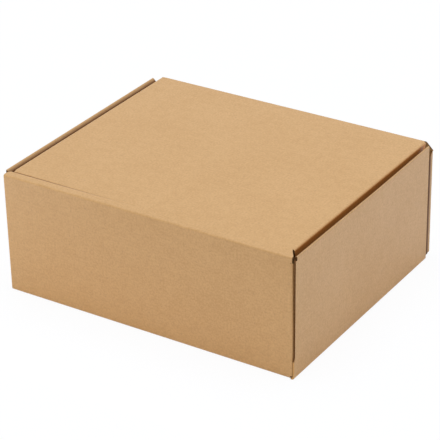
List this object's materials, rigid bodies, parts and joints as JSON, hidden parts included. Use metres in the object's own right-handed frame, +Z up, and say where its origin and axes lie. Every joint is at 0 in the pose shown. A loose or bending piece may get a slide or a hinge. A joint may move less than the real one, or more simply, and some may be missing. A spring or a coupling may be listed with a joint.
{
  "type": "closed cardboard mailing box",
  "caption": "Low closed mailing box folded from thin corrugated cardboard, with rolled side walls and a hinged lid that tucks in behind the front wall.",
  "frame": {"origin": "centre of the bounding box, at its lowest level: the middle of the base's underside", "axes": "+X along the hinge wall and the front wall, +Y from the hinge wall to the front wall, +Z up"},
  "size_m": [0.255, 0.2124, 0.0985],
  "materials": {
    "kraft_board": "matt brown kraft liner over thin corrugated board"
  },
  "bodies": {
    "tray": {"tray": "kraft_board"},
    "lid": {"lid": "kraft_board"}
  },
  "joints": [
    {"name": "lid_hinge", "type": "hinge", "parent": "tray", "child": "lid", "pos_m": [0, -0.0985, 0.0985], "axis": [1, 0, 0], "range_deg": [0, 175]}
  ]
}
